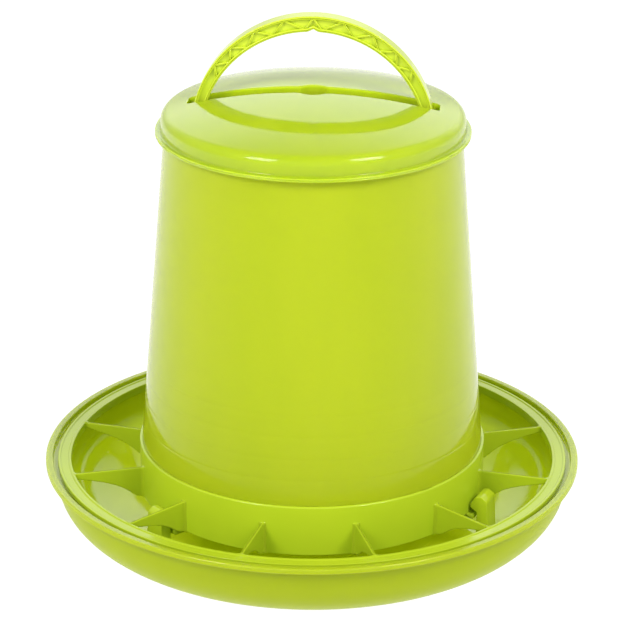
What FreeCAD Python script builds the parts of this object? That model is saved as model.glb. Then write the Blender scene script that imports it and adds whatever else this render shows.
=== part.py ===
import FreeCAD, Part
import math
import os
from FreeCAD import Vector

# Gravity hopper feeder for poultry: a pan, a spoked grille that keeps the birds from throwing feed out,
# a hopper that twists into the grille's hub, a lid that lifts off over the handle, and two snap hooks
# that hold the grille in the pan. Millimetres, Z up, origin at the centre of the pan's base.
# The handle stands in the XZ plane. Heights named *_z are above the base.

AXIS = Vector(0, 0, 1)
ORIGIN = Vector(0, 0, 0)
FULL_TURN = 360.0

# ---- driving dimensions -------------------------------------------------------------------------

# pan
rim_radius = 150.0
rim_z = 46.5
rim_lip_width = 4.0
rim_corner = 0.7
rim_face_height = 1.5
rim_under_width = 1.4
rim_under_drop = 1.0
bowl_radius = 144.5
bowl_top_z = rim_z - 5.0
ledge_z = rim_z - 3.0
ledge_slope = 0.5
base_radius = 82.6
pan_wall = 2.0
bowl_r_power = 1.127
bowl_z_power = 0.766
foot_ring_inner = 71.0
cone_height = 26.0
cone_tip_radius = 12.0

# grille
ring_inner = 135.7
ring_outer = 143.2
ring_top_z = rim_z - 1.1
ring_edge_rise = 0.5
ring_edge_width = 1.1
ring_edge_slope = 0.4
ring_corner = 0.3
ring_skirt_depth = 2.4
ring_skirt_width = 1.6
ring_skirt_slope = 1.0
fin_count = 12
fin_thickness = 1.8
fin_top_z = rim_z - 0.8
grille_turn = 3.8
hub_outer = 97.0
hub_bore = 95.5
hub_top_z = rim_z + 9.7
hub_bottom_z = rim_z - 18.6
hub_corner = 0.4
hub_flange = 2.0
hub_flange_bore = 88.0

# lower edge of a fin: distance outside the hub, and depth below the rim
fin_lower_edge = [(0.0, 18.6), (4.0, 17.7), (7.0, 15.8), (10.3, 13.3), (14.0, 11.1), (19.0, 9.0),
                  (23.6, 7.5), (28.0, 6.4), (33.0, 5.2)]
fin_depth_at_ring = 4.0
fin_overlap = 3.0

# hopper
hopper_wall = 2.0
collar_radius = 95.2
collar_top_z = rim_z + 12.5
hopper_top_radius = 80.4
hopper_top_z = rim_z + 196.0
mouth_radius = 84.0
mouth_flange = 2.5
mark_heights = [rim_z + 12.0 * step for step in (2, 3, 4, 5)]
mark_depth = 0.15
mark_half_height = 0.5

# bayonet between hopper and hub
bayonet_count = 3
bayonet_start = 45.0
bayonet_foot_angle = 14.0
bayonet_notch_angle = 17.0
bayonet_travel = 20.0
bayonet_clearance = 0.4
bayonet_neck_gap = 0.5
bayonet_foot_outer = 92.0
bayonet_foot_height = 2.6

# lid
dome_radius = 288.0
dome_top_z = rim_z + 212.0
lid_wall_radius = 82.5
lid_bore = 81.0
lid_fit = 0.3
lid_shoulder = 5.5
lid_thickness = 2.0
bead_radius = 85.5
bead_bottom_z = rim_z + 188.5
bead_height = 2.0
bead_corner = 0.4
bead_groove = 0.3
plug_outer = 77.3
plug_inner = 75.8
plug_bottom_z = rim_z + 190.0
slot_half_length = 68.0
slot_half_width = 5.5
slot_corner = 2.0
eye_radius = 8.75
slot_rim = 1.5
slot_depth = 7.0
lid_prism_reach = 10.0

# handle
arch_outer_radius = 66.2
arch_outer_z = rim_z + 187.6
arch_inner_radius = 60.5
arch_inner_z = rim_z + 184.8
flange_width = 10.0
flange_thickness = 1.8
web_thickness = 5.6
rib_thickness = 1.1
rib_width = 9.1
rib_outer_angles = [0.0, 13.5, 28.0, 41.4, 52.7]
rib_inner_angles = [4.2, 20.2, 34.5, 46.5, 57.3]
notch_half_width = 3.2
notch_depth = 1.5
leg_bend_z = rim_z + 193.0
leg_inner_drop = 3.0
tongue_inner = 71.3
tongue_outer = 75.3
tongue_top_z = rim_z + 185.0
tongue_bottom_z = rim_z + 162.5
pocket_clearance = 0.3
pocket_inner = 69.0
pocket_half_width = 8.5
pocket_top_z = rim_z + 181.0
pocket_floor = 2.5
barb_depth = 1.4
barb_half_width = 3.0
barb_top_z = tongue_bottom_z + 10.0
barb_height = 5.0

# snap hooks, and the tabs under the hub that they hold down
hook_azimuths = {"right": -22.0, "left": -142.0, "back": 98.0}
hook_radius = 105.3
hook_half_thickness = 3.7
hook_width = 13.5
hook_pad_z = 8.0
hook_pad_half_length = 5.5
hook_pad_half_width = 9.0
hook_axis_z = hook_pad_z + hook_half_thickness
hook_lean = 1.4
nose_root_z = rim_z - 17.5
nose_tip_radius = 97.9
nose_tip_low_z = rim_z - 15.3
nose_tip_high_z = rim_z - 13.2
ramp_top_radius = 100.6
ramp_top_z = rim_z - 9.2
hook_crest_radius = 103.2
hook_crest_z = rim_z - 8.5
hook_shoulder_z = rim_z - 12.0
hook_edge_round = 0.6
tab_top_z = rim_z - 19.2
tab_outer = 100.3
tab_inner = 93.0
tab_thickness = 2.7
tab_width = 16.0


# ---- helpers ------------------------------------------------------------------------------------

class Outline:
    """A closed outline in the XZ plane, drawn one stretch after another."""

    def __init__(self, x, z):
        self.start = Vector(x, 0, z)
        self.here = self.start
        self.edges = []

    def line(self, x, z):
        there = Vector(x, 0, z)
        self.edges.append(Part.LineSegment(self.here, there).toShape())
        self.here = there
        return self

    def lines(self, points):
        for x, z in points:
            self.line(x, z)
        return self

    def arc(self, through, end):
        there = Vector(end[0], 0, end[1])
        middle = Vector(through[0], 0, through[1])
        self.edges.append(Part.Arc(self.here, middle, there).toShape())
        self.here = there
        return self

    def curve(self, points):
        """A smooth curve from here through all the points."""
        places = [self.here] + [Vector(x, 0, z) for x, z in points]
        spline = Part.BSplineCurve()
        spline.interpolate(places)
        self.edges.append(spline.toShape())
        self.here = places[-1]
        return self

    def face(self):
        if self.here.distanceToPoint(self.start) > 1e-6:
            self.line(self.start.x, self.start.z)
        return Part.Face(Part.Wire(self.edges))

    def turned(self):
        return self.face().revolve(ORIGIN, AXIS, FULL_TURN)

    def plate(self, thickness):
        """The outline as a plate, centred on the XZ plane."""
        face = self.face()
        face.translate(Vector(0, -thickness / 2, 0))
        return face.extrude(Vector(0, thickness, 0))


def turned_about_z(shape, angle):
    copy = shape.copy()
    copy.rotate(ORIGIN, AXIS, angle)
    return copy


def block(x_low, x_high, half_width, z_low, z_high):
    corner = Vector(x_low, -half_width, z_low)
    return Part.makeBox(x_high - x_low, 2 * half_width, z_high - z_low, corner)


def ring_sector(inner, outer, z_low, z_high, middle_angle, angle):
    """A piece of a flat ring, centred on middle_angle."""
    outline = Outline(inner, z_low).lines([(outer, z_low), (outer, z_high), (inner, z_high)])
    sector = outline.face().revolve(ORIGIN, AXIS, angle)
    return turned_about_z(sector, middle_angle - angle / 2)


def mirrored(shape):
    return shape.mirror(ORIGIN, Vector(1, 0, 0))


def polar(centre_z, radius, angle):
    """A point on a circle in the XZ plane, its angle counted from +X."""
    turn = math.radians(angle)
    return radius * math.cos(turn), centre_z + radius * math.sin(turn)


# ---- pan ----------------------------------------------------------------------------------------

def bowl_points(inset, count=9):
    """Points down the bowl's wall from its rim to its flat floor."""
    points = []
    for step in range(1, count + 1):
        turn = math.pi / 2 * step / count
        across = max(math.cos(turn), 0.0) ** bowl_r_power
        down = math.sin(turn) ** bowl_z_power
        radius = base_radius + (bowl_radius - inset - base_radius) * across
        points.append((radius, bowl_top_z - (bowl_top_z - inset) * down))
    return points


def cone_tip(foot_radius, foot_z, radius):
    """Where a cone rising from its foot runs into its round tip, and a point halfway to the apex."""
    centre_z = cone_height - cone_tip_radius
    reach = math.hypot(foot_radius, centre_z - foot_z)
    slope = math.atan2(centre_z - foot_z, foot_radius) + math.asin(radius / reach)
    return [(radius * math.sin(turn), centre_z + radius * math.cos(turn)) for turn in (slope, slope / 2)]


def pan_outline():
    rim_inner = rim_radius - rim_lip_width
    floor_inner = foot_ring_inner + 1.0
    under_end, under_middle = cone_tip(foot_ring_inner, 0, cone_tip_radius - pan_wall)
    top_end, top_middle = cone_tip(floor_inner, pan_wall, cone_tip_radius)
    outline = Outline(0, cone_height - pan_wall).arc(under_middle, under_end)
    outline.lines([(foot_ring_inner, 0), (base_radius, 0)])
    outline.curve([(r, z) for r, z in reversed(bowl_points(0)[:-1])] + [(bowl_radius, bowl_top_z)])
    face_top_z = rim_z - rim_corner
    face_bottom_z = face_top_z - rim_face_height
    outline.lines([(rim_radius - rim_under_width, face_bottom_z - rim_under_drop), (rim_radius, face_bottom_z)])
    outline.lines([(rim_radius, face_top_z), (rim_radius - rim_corner, rim_z)])
    outline.lines([(rim_inner + rim_corner, rim_z), (rim_inner, face_top_z), (rim_inner, ledge_z)])
    outline.line(bowl_radius - pan_wall - ledge_slope, ledge_z)
    outline.line(bowl_radius - pan_wall, bowl_top_z)
    outline.curve(bowl_points(pan_wall))
    outline.lines([(floor_inner, pan_wall), top_end])
    outline.arc(top_middle, (0, cone_height))
    return outline


def filled_bowl():
    outline = Outline(0, 0).line(base_radius, 0)
    outline.curve([(r, z) for r, z in reversed(bowl_points(0)[:-1])] + [(bowl_radius, bowl_top_z)])
    return outline.line(0, bowl_top_z).turned()


def make_pan():
    pan = pan_outline().turned()
    bowl = filled_bowl()
    pad = block(hook_radius - hook_pad_half_length, hook_radius + hook_pad_half_length,
                hook_pad_half_width, 0, hook_pad_z)
    for azimuth in hook_azimuths.values():
        pan = pan.fuse(turned_about_z(pad, azimuth + grille_turn).common(bowl))
    return pan.removeSplitter()


# ---- grille -------------------------------------------------------------------------------------

def make_grille_ring():
    low = ring_top_z
    high = ring_top_z + ring_edge_rise
    skirt_z = ledge_z - ring_skirt_depth
    flat_inner = ring_inner + ring_edge_width + ring_edge_slope
    flat_outer = ring_outer - ring_edge_width - ring_edge_slope
    outline = Outline(ring_inner, skirt_z).line(ring_inner, high - ring_corner)
    outline.lines([(ring_inner + ring_corner, high), (ring_inner + ring_edge_width, high), (flat_inner, low)])
    outline.lines([(flat_outer, low), (ring_outer - ring_edge_width, high), (ring_outer - ring_corner, high)])
    outline.lines([(ring_outer, high - ring_corner), (ring_outer, ledge_z)])
    outline.line(ring_inner + ring_skirt_width + ring_skirt_slope, ledge_z)
    outline.line(ring_inner + ring_skirt_width, skirt_z)
    return outline.turned()


def make_grille_fins():
    """Radial fins, deep at the hub and arched up to a shallow end at the ring."""
    lower = [(hub_outer + out, rim_z - down) for out, down in fin_lower_edge]
    lower.append((ring_inner, rim_z - fin_depth_at_ring))
    outline = Outline(*lower[0]).curve(lower[1:])
    outline.line(ring_inner + fin_overlap, rim_z - fin_depth_at_ring)
    outline.line(ring_inner + fin_overlap, fin_top_z)
    outline.line(hub_outer - fin_overlap, fin_top_z)
    outline.line(hub_outer - fin_overlap, hub_bottom_z)
    fin = outline.plate(fin_thickness)
    gap = Part.makeCylinder(ring_inner, rim_radius).cut(Part.makeCylinder(hub_outer, rim_radius))
    fin = fin.common(gap)
    pitch = FULL_TURN / fin_count
    angles = [pitch * (number + 0.5) + grille_turn for number in range(fin_count)]
    return Part.makeCompound([turned_about_z(fin, angle) for angle in angles])


def make_hook_tab():
    """The shelf under the hub that a snap hook's nose keeps down."""
    bottom_z = tab_top_z - tab_thickness
    angle = math.degrees(tab_width / tab_outer)
    shelf = ring_sector(tab_inner, tab_outer, bottom_z, tab_top_z, 0, angle)
    web = ring_sector(tab_inner, hub_outer, bottom_z, hub_bottom_z + hub_flange / 2, 0, angle)
    return shelf.fuse(web)


def make_grille_hub():
    outline = Outline(hub_flange_bore, hub_bottom_z)
    outline.lines([(hub_outer, hub_bottom_z), (hub_outer, hub_top_z - hub_corner)])
    outline.line(hub_outer - hub_corner, hub_top_z)
    outline.lines([(hub_bore, hub_top_z), (hub_bore, hub_bottom_z + hub_flange)])
    outline.line(hub_flange_bore, hub_bottom_z + hub_flange)
    hub = outline.turned()
    for number in range(bayonet_count):
        angle = bayonet_start + bayonet_travel + FULL_TURN / bayonet_count * number
        notch = ring_sector(hub_flange_bore - 1, bayonet_foot_outer + bayonet_clearance,
                            hub_bottom_z - 1, hub_bottom_z + hub_flange + 1, angle, bayonet_notch_angle)
        hub = hub.cut(notch)
    for azimuth in hook_azimuths.values():
        hub = hub.fuse(turned_about_z(make_hook_tab(), azimuth + grille_turn))
    return hub.removeSplitter()


# ---- hopper -------------------------------------------------------------------------------------

def hopper_radius(z):
    """The drum's outer radius: straight in the hub, then a straight taper to the top."""
    share = (z - collar_top_z) / (hopper_top_z - collar_top_z)
    return collar_radius + (hopper_top_radius - collar_radius) * max(share, 0.0)


def hopper_shell():
    seat_z = hub_bottom_z + hub_flange
    outline = Outline(mouth_radius, seat_z).line(collar_radius, seat_z)
    outline.line(collar_radius, collar_top_z)
    for z in mark_heights:
        outline.line(hopper_radius(z - mark_half_height), z - mark_half_height)
        outline.line(hopper_radius(z) - mark_depth, z)
        outline.line(hopper_radius(z + mark_half_height), z + mark_half_height)
    outline.line(hopper_top_radius, hopper_top_z)
    outline.line(hopper_top_radius - hopper_wall, hopper_top_z)
    outline.line(collar_radius - hopper_wall, collar_top_z)
    outline.line(collar_radius - hopper_wall, seat_z + mouth_flange)
    return outline.line(mouth_radius, seat_z + mouth_flange).turned()


def bayonet_foot(angle):
    """A foot that reaches down through the hub's flange and out under it."""
    under_z = hub_bottom_z - bayonet_clearance
    neck_outer = hub_flange_bore - bayonet_neck_gap
    top_z = hub_bottom_z + hub_flange + 1
    neck = ring_sector(mouth_radius, neck_outer, under_z - 1, top_z, angle, bayonet_foot_angle)
    toe = ring_sector(mouth_radius, bayonet_foot_outer, under_z - bayonet_foot_height, under_z,
                      angle, bayonet_foot_angle)
    return neck.fuse(toe)


def handle_pocket():
    """A blind pocket on the hopper's inner wall for one foot of the handle."""
    wall_reach = hopper_radius(pocket_top_z) - hopper_wall / 2
    bottom_z = tongue_bottom_z - pocket_floor
    pocket = block(pocket_inner, wall_reach, pocket_half_width, bottom_z, pocket_top_z)
    hole = block(tongue_inner - pocket_clearance, tongue_outer + pocket_clearance,
                 flange_width / 2 + pocket_clearance, tongue_bottom_z, pocket_top_z + 1)
    window = block(pocket_inner - 1, tongue_inner, barb_half_width + pocket_clearance,
                   barb_top_z - barb_height - 1, barb_top_z + pocket_clearance)
    return pocket.cut(hole).cut(window)


def make_hopper():
    hopper = hopper_shell()
    for number in range(bayonet_count):
        hopper = hopper.fuse(bayonet_foot(bayonet_start + FULL_TURN / bayonet_count * number))
    for pocket in (handle_pocket(), mirrored(handle_pocket())):
        hopper = hopper.fuse(pocket)
    return hopper.removeSplitter()


# ---- lid ----------------------------------------------------------------------------------------

def dome_z(radius, drop=0.0):
    """Height of the dome's top face, or of a copy of it lowered by drop."""
    return dome_top_z - drop - dome_radius + math.sqrt(dome_radius ** 2 - radius ** 2)


def lid_shell():
    shoulder_r = lid_wall_radius - lid_shoulder
    lean = math.asin(shoulder_r / (dome_radius - lid_shoulder))
    meet_r = dome_radius * math.sin(lean)
    shoulder_z = dome_z(meet_r) - lid_shoulder * math.cos(lean)
    half = (math.pi / 2 - lean) / 2
    bead_top_z = bead_bottom_z + bead_height
    bead_middle_z = bead_bottom_z + bead_height / 2
    outline = Outline(lid_bore + lid_fit, bead_bottom_z).line(bead_radius - bead_corner, bead_bottom_z)
    outline.line(bead_radius, bead_bottom_z + bead_corner)
    outline.line(bead_radius - bead_groove, bead_middle_z)
    outline.line(bead_radius, bead_top_z - bead_corner)
    outline.line(bead_radius - bead_corner, bead_top_z)
    outline.lines([(lid_wall_radius + bead_corner, bead_top_z), (lid_wall_radius, bead_top_z + bead_corner)])
    outline.line(lid_wall_radius, shoulder_z)
    outline.arc((shoulder_r + lid_shoulder * math.cos(half), shoulder_z + lid_shoulder * math.sin(half)),
                (meet_r, dome_z(meet_r)))
    outline.arc((meet_r / 2, dome_z(meet_r / 2)), (0, dome_top_z))
    outline.line(0, dome_top_z - lid_thickness)
    under_r = plug_inner
    outline.arc((under_r / 2, dome_z(under_r / 2, lid_thickness)), (under_r, dome_z(under_r, lid_thickness)))
    outline.lines([(plug_inner, plug_bottom_z), (plug_outer, plug_bottom_z), (plug_outer, hopper_top_z)])
    outline.line(lid_bore - lid_fit, hopper_top_z)
    return outline.turned()


def slot_prism(margin):
    """The long slot with its round eye, as an upright prism, grown by margin all round."""
    low = hopper_top_z - lid_prism_reach
    high = dome_top_z + lid_prism_reach
    reach = slot_half_length + margin
    prism = block(-reach, reach, slot_half_width + margin, low, high)
    upright = [edge for edge in prism.Edges if abs(edge.Vertexes[0].Z - edge.Vertexes[1].Z) > lid_prism_reach]
    prism = prism.makeFillet(slot_corner + margin, upright)
    return prism.fuse(Part.makeCylinder(eye_radius + margin, high - low, Vector(0, 0, low)))


def slot_collar():
    """A short wall round the slot, hanging from the dome."""
    reach = slot_half_length + slot_rim + 1
    band = Outline(0, dome_top_z - lid_thickness / 2)
    band.arc((reach / 2, dome_z(reach / 2, lid_thickness / 2)), (reach, dome_z(reach, lid_thickness / 2)))
    band.line(reach, dome_z(reach, slot_depth))
    band.arc((reach / 2, dome_z(reach / 2, slot_depth)), (0, dome_top_z - slot_depth))
    return band.turned().common(slot_prism(slot_rim))


def make_lid():
    return lid_shell().fuse(slot_collar()).cut(slot_prism(0)).removeSplitter()


# ---- handle -------------------------------------------------------------------------------------

def arch_band(centre_z, radius, thickness, width):
    """A half-round band in the XZ plane, standing on the level where the legs start."""
    start = math.degrees(math.asin((leg_bend_z - centre_z) / radius))
    outline = Outline(*polar(centre_z, radius, start))
    outline.arc(polar(centre_z, radius, 90), polar(centre_z, radius, 180 - start))
    outline.line(*polar(centre_z, radius - thickness, 180 - start))
    outline.arc(polar(centre_z, radius - thickness, 90), polar(centre_z, radius - thickness, start))
    return outline.plate(width)


def arch_web():
    outer_start = math.degrees(math.asin((leg_bend_z - arch_outer_z) / arch_outer_radius))
    inner_start = math.degrees(math.asin((leg_bend_z - arch_inner_z) / arch_inner_radius))
    outline = Outline(*polar(arch_outer_z, arch_outer_radius, outer_start))
    outline.arc(polar(arch_outer_z, arch_outer_radius, 90),
                polar(arch_outer_z, arch_outer_radius, 180 - outer_start))
    outline.line(*polar(arch_inner_z, arch_inner_radius, 180 - inner_start))
    outline.arc(polar(arch_inner_z, arch_inner_radius, 90), polar(arch_inner_z, arch_inner_radius, inner_start))
    return outline.plate(web_thickness)


def arch_rib(start, end):
    """A thin rib between two points of the arch."""
    along = Vector(end[0] - start[0], 0, end[1] - start[1])
    side = Vector(-along.z, 0, along.x).normalize() * (rib_thickness / 2)
    outline = Outline(start[0] + side.x, start[1] + side.z)
    outline.lines([(end[0] + side.x, end[1] + side.z), (end[0] - side.x, end[1] - side.z)])
    return outline.line(start[0] - side.x, start[1] - side.z).plate(rib_width)


def on_outer_flange(angle):
    """The point in the middle of the outer flange, seen at this angle from the inner arch's centre."""
    turn = math.radians(angle)
    radius = arch_outer_radius - flange_thickness / 2
    rise = (arch_outer_z - arch_inner_z) * math.sin(turn)
    shift = (arch_outer_z - arch_inner_z) * math.cos(turn)
    return polar(arch_inner_z, rise + math.sqrt(radius ** 2 - shift ** 2), angle)


def arch_ribs():
    """Ribs that zigzag between the outer and the inner flange, the same on both sides of the crown."""
    ribs = []
    for side in (1, -1):
        points = []
        for outer, inner in zip(rib_outer_angles, rib_inner_angles):
            points.append(on_outer_flange(90 - side * outer))
            points.append(polar(arch_inner_z, arch_inner_radius + flange_thickness / 2, 90 - side * inner))
        ribs += [arch_rib(start, end) for start, end in zip(points, points[1:])]
    return ribs


def handle_leg():
    """One leg: it leans out under the lid and ends in an upright tongue with a barb."""
    outer_x = math.sqrt(arch_outer_radius ** 2 - (leg_bend_z - arch_outer_z) ** 2)
    inner_x = math.sqrt(arch_inner_radius ** 2 - (leg_bend_z - arch_inner_z) ** 2)
    outline = Outline(outer_x, leg_bend_z).line(tongue_outer, tongue_top_z)
    outline.lines([(tongue_outer, tongue_bottom_z), (tongue_inner, tongue_bottom_z)])
    outline.lines([(tongue_inner, tongue_top_z - leg_inner_drop), (inner_x, leg_bend_z - leg_inner_drop)])
    leg = outline.line(inner_x, leg_bend_z).plate(flange_width)
    barb = Outline(tongue_inner, barb_top_z).line(tongue_inner - barb_depth, barb_top_z)
    barb.line(tongue_inner, barb_top_z - barb_height)
    return leg.fuse(barb.plate(2 * barb_half_width))


def make_handle():
    handle = arch_band(arch_outer_z, arch_outer_radius, flange_thickness, flange_width)
    inner = arch_band(arch_inner_z, arch_inner_radius + flange_thickness, flange_thickness, flange_width)
    pieces = [inner, arch_web(), handle_leg(), mirrored(handle_leg())] + arch_ribs()
    handle = handle.fuse(pieces)
    crown_z = arch_inner_z + arch_inner_radius
    notch = Outline(-notch_half_width, crown_z - 1).line(notch_half_width, crown_z - 1)
    notch.line(0, crown_z + notch_depth)
    return handle.cut(notch.plate(2 * flange_width)).removeSplitter()


# ---- snap hooks ---------------------------------------------------------------------------------

def make_hook(azimuth):
    """An upright snap hook: round foot, nose towards the hub, sloped top to ride over the tab."""
    inner = hook_radius - hook_half_thickness
    outer = hook_radius + hook_half_thickness
    outline = Outline(inner, hook_axis_z).line(inner, nose_root_z)
    outline.lines([(nose_tip_radius, nose_tip_low_z), (nose_tip_radius, nose_tip_high_z)])
    outline.line(ramp_top_radius, ramp_top_z)
    outline.arc((hook_crest_radius, hook_crest_z), (outer - hook_lean, hook_shoulder_z))
    outline.line(outer, hook_axis_z)
    outline.arc((hook_radius, hook_axis_z - hook_half_thickness), (inner, hook_axis_z))
    hook = outline.plate(hook_width)
    side_edges = [edge for edge in hook.Edges if edge.BoundBox.YLength < 0.01]
    hook = hook.makeFillet(hook_edge_round, side_edges)
    return turned_about_z(hook, azimuth + grille_turn)


# ---- write the nodes ----------------------------------------------------------------------------

def all_nodes():
    nodes = {
        "pan": make_pan(),
        "grille_ring": make_grille_ring(),
        "grille_fins": make_grille_fins(),
        "grille_hub": make_grille_hub(),
        "hopper": make_hopper(),
        "handle": make_handle(),
        "lid": make_lid(),
    }
    for side, azimuth in hook_azimuths.items():
        nodes["latch_clip_" + side] = make_hook(azimuth)
    return nodes


os.makedirs("parts", exist_ok=True)
for name, shape in all_nodes().items():
    if not shape.isValid():
        raise ValueError(name + " is not a valid solid")
    shape.exportStep("parts/" + name + ".step")
    box = shape.BoundBox
    print(f"{name:18s} solids {len(shape.Solids):2d}  volume {shape.Volume / 1000:8.2f} cm3  "
          f"z {box.ZMin:7.2f} to {box.ZMax:7.2f}  x {box.XMin:7.2f} to {box.XMax:7.2f}")
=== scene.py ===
import math

import bmesh
import bpy
import numpy as np
from mathutils import Matrix, Vector


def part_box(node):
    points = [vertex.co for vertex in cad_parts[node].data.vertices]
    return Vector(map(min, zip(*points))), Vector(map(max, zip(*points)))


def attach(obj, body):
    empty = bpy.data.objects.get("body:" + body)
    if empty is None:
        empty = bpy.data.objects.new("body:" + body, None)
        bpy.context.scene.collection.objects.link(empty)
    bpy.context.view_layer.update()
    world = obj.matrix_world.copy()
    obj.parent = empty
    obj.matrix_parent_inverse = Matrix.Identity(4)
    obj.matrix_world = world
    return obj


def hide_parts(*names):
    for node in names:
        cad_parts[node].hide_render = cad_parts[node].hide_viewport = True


# A gravity hopper feeder for poultry in glossy lime plastic: pan, grille, hopper, lid, handle, snap hooks.
# Metres, Z up, the origin at the centre of the pan's base, the handle along X.

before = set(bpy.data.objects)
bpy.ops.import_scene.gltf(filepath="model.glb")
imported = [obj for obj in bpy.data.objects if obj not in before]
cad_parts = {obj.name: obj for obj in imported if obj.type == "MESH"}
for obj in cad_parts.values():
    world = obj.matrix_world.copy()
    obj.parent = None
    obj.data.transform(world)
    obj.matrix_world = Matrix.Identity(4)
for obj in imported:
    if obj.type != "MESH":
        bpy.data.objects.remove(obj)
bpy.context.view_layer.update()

MM = 0.001
FULL_TURN = 2 * math.pi
SEGMENTS = 216
BEVEL_ANGLE = math.radians(40)
SHARP_ANGLE = math.radians(32)

# The studio: the walls' light, the ceiling's, what the back adds, and the share left at the sides.
ROOM_LIGHT = 0.95
CEILING_LIGHT = 0.35
BACK_LIGHT = 0.75
SIDE_SHARE = 0.6


# ---- places read from the frame, and the hub ----------------------------------------------------

def top_of(node):
    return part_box(node)[1].z


def foot_of(node):
    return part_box(node)[0].z


def reach_of(node):
    low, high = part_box(node)
    return max(high.x, high.y, -low.x, -low.y)


rim_z = top_of("pan")
rim_radius = reach_of("pan")
ring_outer = reach_of("grille_ring")
hub_top_z = top_of("grille_hub")
hub_outer = 97.0 * MM
hopper_top_z = top_of("hopper")
collar_radius = hub_outer - 1.58 * MM
bead_radius = reach_of("lid")
bead_bottom_z = foot_of("lid")
handle_top_z = top_of("handle")


# ---- outlines -----------------------------------------------------------------------------------

def rounded(corners, closed=True, steps=5, hold=0.5 * MM):
    """Corners are (r, z) or (r, z, radius). Returns the outline's points, each corner turned into an arc
    with a holding point just outside it, so that the flats beside it shade flat."""
    count = len(corners)
    outline = []
    for number, corner in enumerate(corners):
        here = Vector(corner[:2])
        radius = corner[2] if len(corner) > 2 else 0.0
        at_end = not closed and number in (0, count - 1)
        if radius <= 0 or at_end:
            outline.append(here)
            continue
        before = Vector(corners[number - 1][:2]) - here
        after = Vector(corners[(number + 1) % count][:2]) - here
        turn = math.pi - before.angle(after)
        reach = min(radius * math.tan(turn / 2), 0.48 * before.length, 0.48 * after.length)
        radius = reach / math.tan(turn / 2)
        start = here + before.normalized() * reach
        end = here + after.normalized() * reach
        inward = (before.normalized() + after.normalized()).normalized()
        centre = here + inward * math.hypot(reach, radius)
        outline.append(start + before.normalized() * min(hold, 0.3 * (before.length - reach)))
        for step in range(steps + 1):
            share = step / steps
            spoke = (start - centre) * (1 - share) + (end - centre) * share
            outline.append(centre + spoke.normalized() * radius)
        outline.append(end + after.normalized() * min(hold, 0.3 * (after.length - reach)))
    return [(point.x, point.y) for point in outline]


def new_piece(name, vertices, faces, smooth=True):
    mesh = bpy.data.meshes.new(name)
    mesh.from_pydata([tuple(v) for v in vertices], [], faces)
    mesh.validate()
    made = bmesh.new()
    made.from_mesh(mesh)
    bmesh.ops.remove_doubles(made, verts=made.verts, dist=1e-7)
    bmesh.ops.recalc_face_normals(made, faces=made.faces)
    made.to_mesh(mesh)
    made.free()
    for polygon in mesh.polygons:
        polygon.use_smooth = smooth
    piece = bpy.data.objects.new(name, mesh)
    bpy.context.scene.collection.objects.link(piece)
    return piece


def skin(rows, closed_rows=True):
    """Faces between closed rows of points. With closed_rows the last row joins the first."""
    count = len(rows[0])
    vertices = [point for row in rows for point in row]
    faces = []
    for row in range(len(rows) if closed_rows else len(rows) - 1):
        base = row * count
        above = (row + 1) % len(rows) * count
        for column in range(count):
            beside = (column + 1) % count
            faces.append((base + column, base + beside, above + beside, above + column))
    return vertices, faces


def loft(name, rows):
    """A solid through closed rows of points, with flat ends."""
    vertices, faces = skin(rows, closed_rows=False)
    last = len(vertices) - len(rows[0])
    faces.append(tuple(range(len(rows[0]))))
    faces.append(tuple(range(last, len(vertices))))
    return new_piece(name, vertices, faces)


def lathe(name, outline):
    """A closed outline in the r-z plane turned about Z. An outline that touches the axis makes a pole there."""
    angles = np.linspace(0, FULL_TURN, SEGMENTS, endpoint=False)
    rows = [[(max(r, 0.0) * math.cos(a), max(r, 0.0) * math.sin(a), z) for a in angles] for r, z in outline]
    return new_piece(name, *skin(rows))


def sector(name, outline, middle, sweep, segments=10):
    """A part of a turn of a closed outline, with flat ends."""
    angles = np.linspace(middle - sweep / 2, middle + sweep / 2, segments + 1)
    return loft(name, [[(r * math.cos(a), r * math.sin(a), z) for r, z in outline] for a in angles])


def plate(name, outline, width, edge_radius=0.0, edge_steps=3):
    """A closed outline in the XZ plane as a plate centred on it, with rounded edges."""
    count = len(outline)
    vertices = [(x, -width / 2, z) for x, z in outline] + [(x, width / 2, z) for x, z in outline]
    faces = [tuple(range(count)), tuple(range(2 * count - 1, count - 1, -1))]
    faces += [(i, i + count, (i + 1) % count + count, (i + 1) % count) for i in range(count)]
    piece = new_piece(name, vertices, faces, smooth=False)
    if edge_radius:
        made = bmesh.new()
        made.from_mesh(piece.data)
        rim = [edge for edge in made.edges
               if len(edge.link_faces) == 2 and edge.calc_face_angle(0) > BEVEL_ANGLE]
        bmesh.ops.bevel(made, geom=rim, offset=edge_radius, segments=edge_steps, profile=0.5,
                        affect="EDGES", clamp_overlap=True)
        made.to_mesh(piece.data)
        made.free()
    piece.data.shade_smooth()
    piece.data.set_sharp_from_angle(angle=SHARP_ANGLE)
    return piece


def joined(name, pieces):
    """Several pieces as one object."""
    made = bmesh.new()
    for piece in pieces:
        piece.data.transform(piece.matrix_world)
        made.from_mesh(piece.data)
    mesh = bpy.data.meshes.new(name)
    made.to_mesh(mesh)
    made.free()
    for piece in pieces:
        bpy.data.objects.remove(piece)
    whole = bpy.data.objects.new(name, mesh)
    bpy.context.scene.collection.objects.link(whole)
    return whole


def turned(piece, angle):
    """Turns a piece about Z."""
    piece.data.transform(Matrix.Rotation(angle, 4, "Z"))
    return piece


def mirrored(piece):
    """Mirrors a piece in the YZ plane and keeps its faces outward."""
    piece.data.transform(Matrix.Scale(-1, 4, Vector((1, 0, 0))))
    piece.data.flip_normals()
    return piece


def finish_piece(piece, body, slot, material, *nodes):
    """Gives a piece its material, its body and the CAD nodes that it stands for."""
    piece.data.materials.clear()
    piece.data.materials.append(material)
    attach(piece, body)
    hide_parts(*nodes)
    return piece


# ---- materials ----------------------------------------------------------------------------------

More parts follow.
